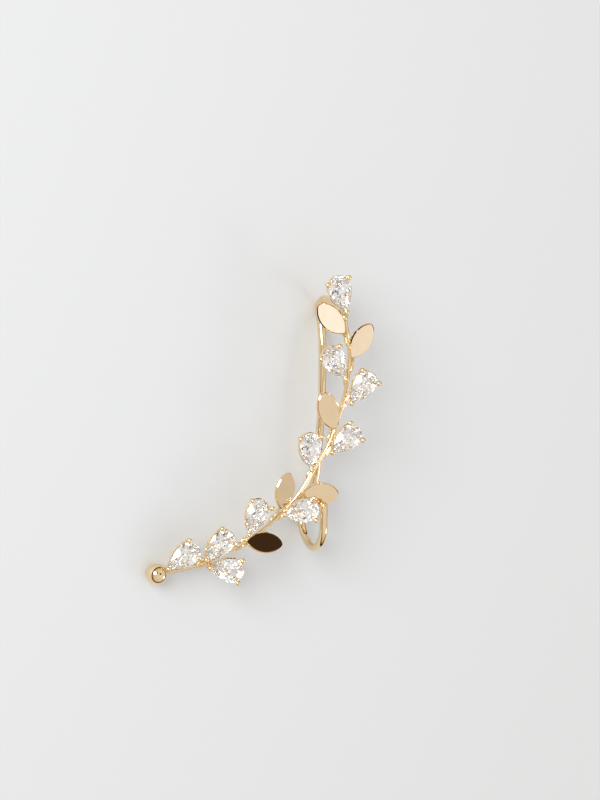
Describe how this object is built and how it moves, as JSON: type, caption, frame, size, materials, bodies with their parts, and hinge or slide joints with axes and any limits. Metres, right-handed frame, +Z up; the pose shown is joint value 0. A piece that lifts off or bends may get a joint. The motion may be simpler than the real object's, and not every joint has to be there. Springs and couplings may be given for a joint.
{
  "type": "ear cuff",
  "caption": "Leafy vine ear cuff: a curved gold-coloured stem with flat leaves and pear-cut clear stones in prong settings, a ball end, and a sprung ear wire behind.",
  "frame": {"origin": "on the table under the middle of the cuff's box, the cuff lying on its back", "axes": "+Z up, away from the table; +Y along the cuff towards its top stone; +X across it, away from the ball end"},
  "size_m": [0.0369, 0.0488, 0.014],
  "materials": {
    "gold_plate": "polished pale yellow gold plating",
    "clear_stone": "faceted and polished colourless cubic zirconia"
  },
  "bodies": {
    "root": {"gold_frame": "gold_plate", "stone_01": "clear_stone", "stone_02": "clear_stone", "stone_03": "clear_stone", "stone_04": "clear_stone", "stone_05": "clear_stone", "stone_06": "clear_stone", "stone_07": "clear_stone", "stone_08": "clear_stone", "stone_09": "clear_stone", "stone_10": "clear_stone"}
  },
  "joints": []
}
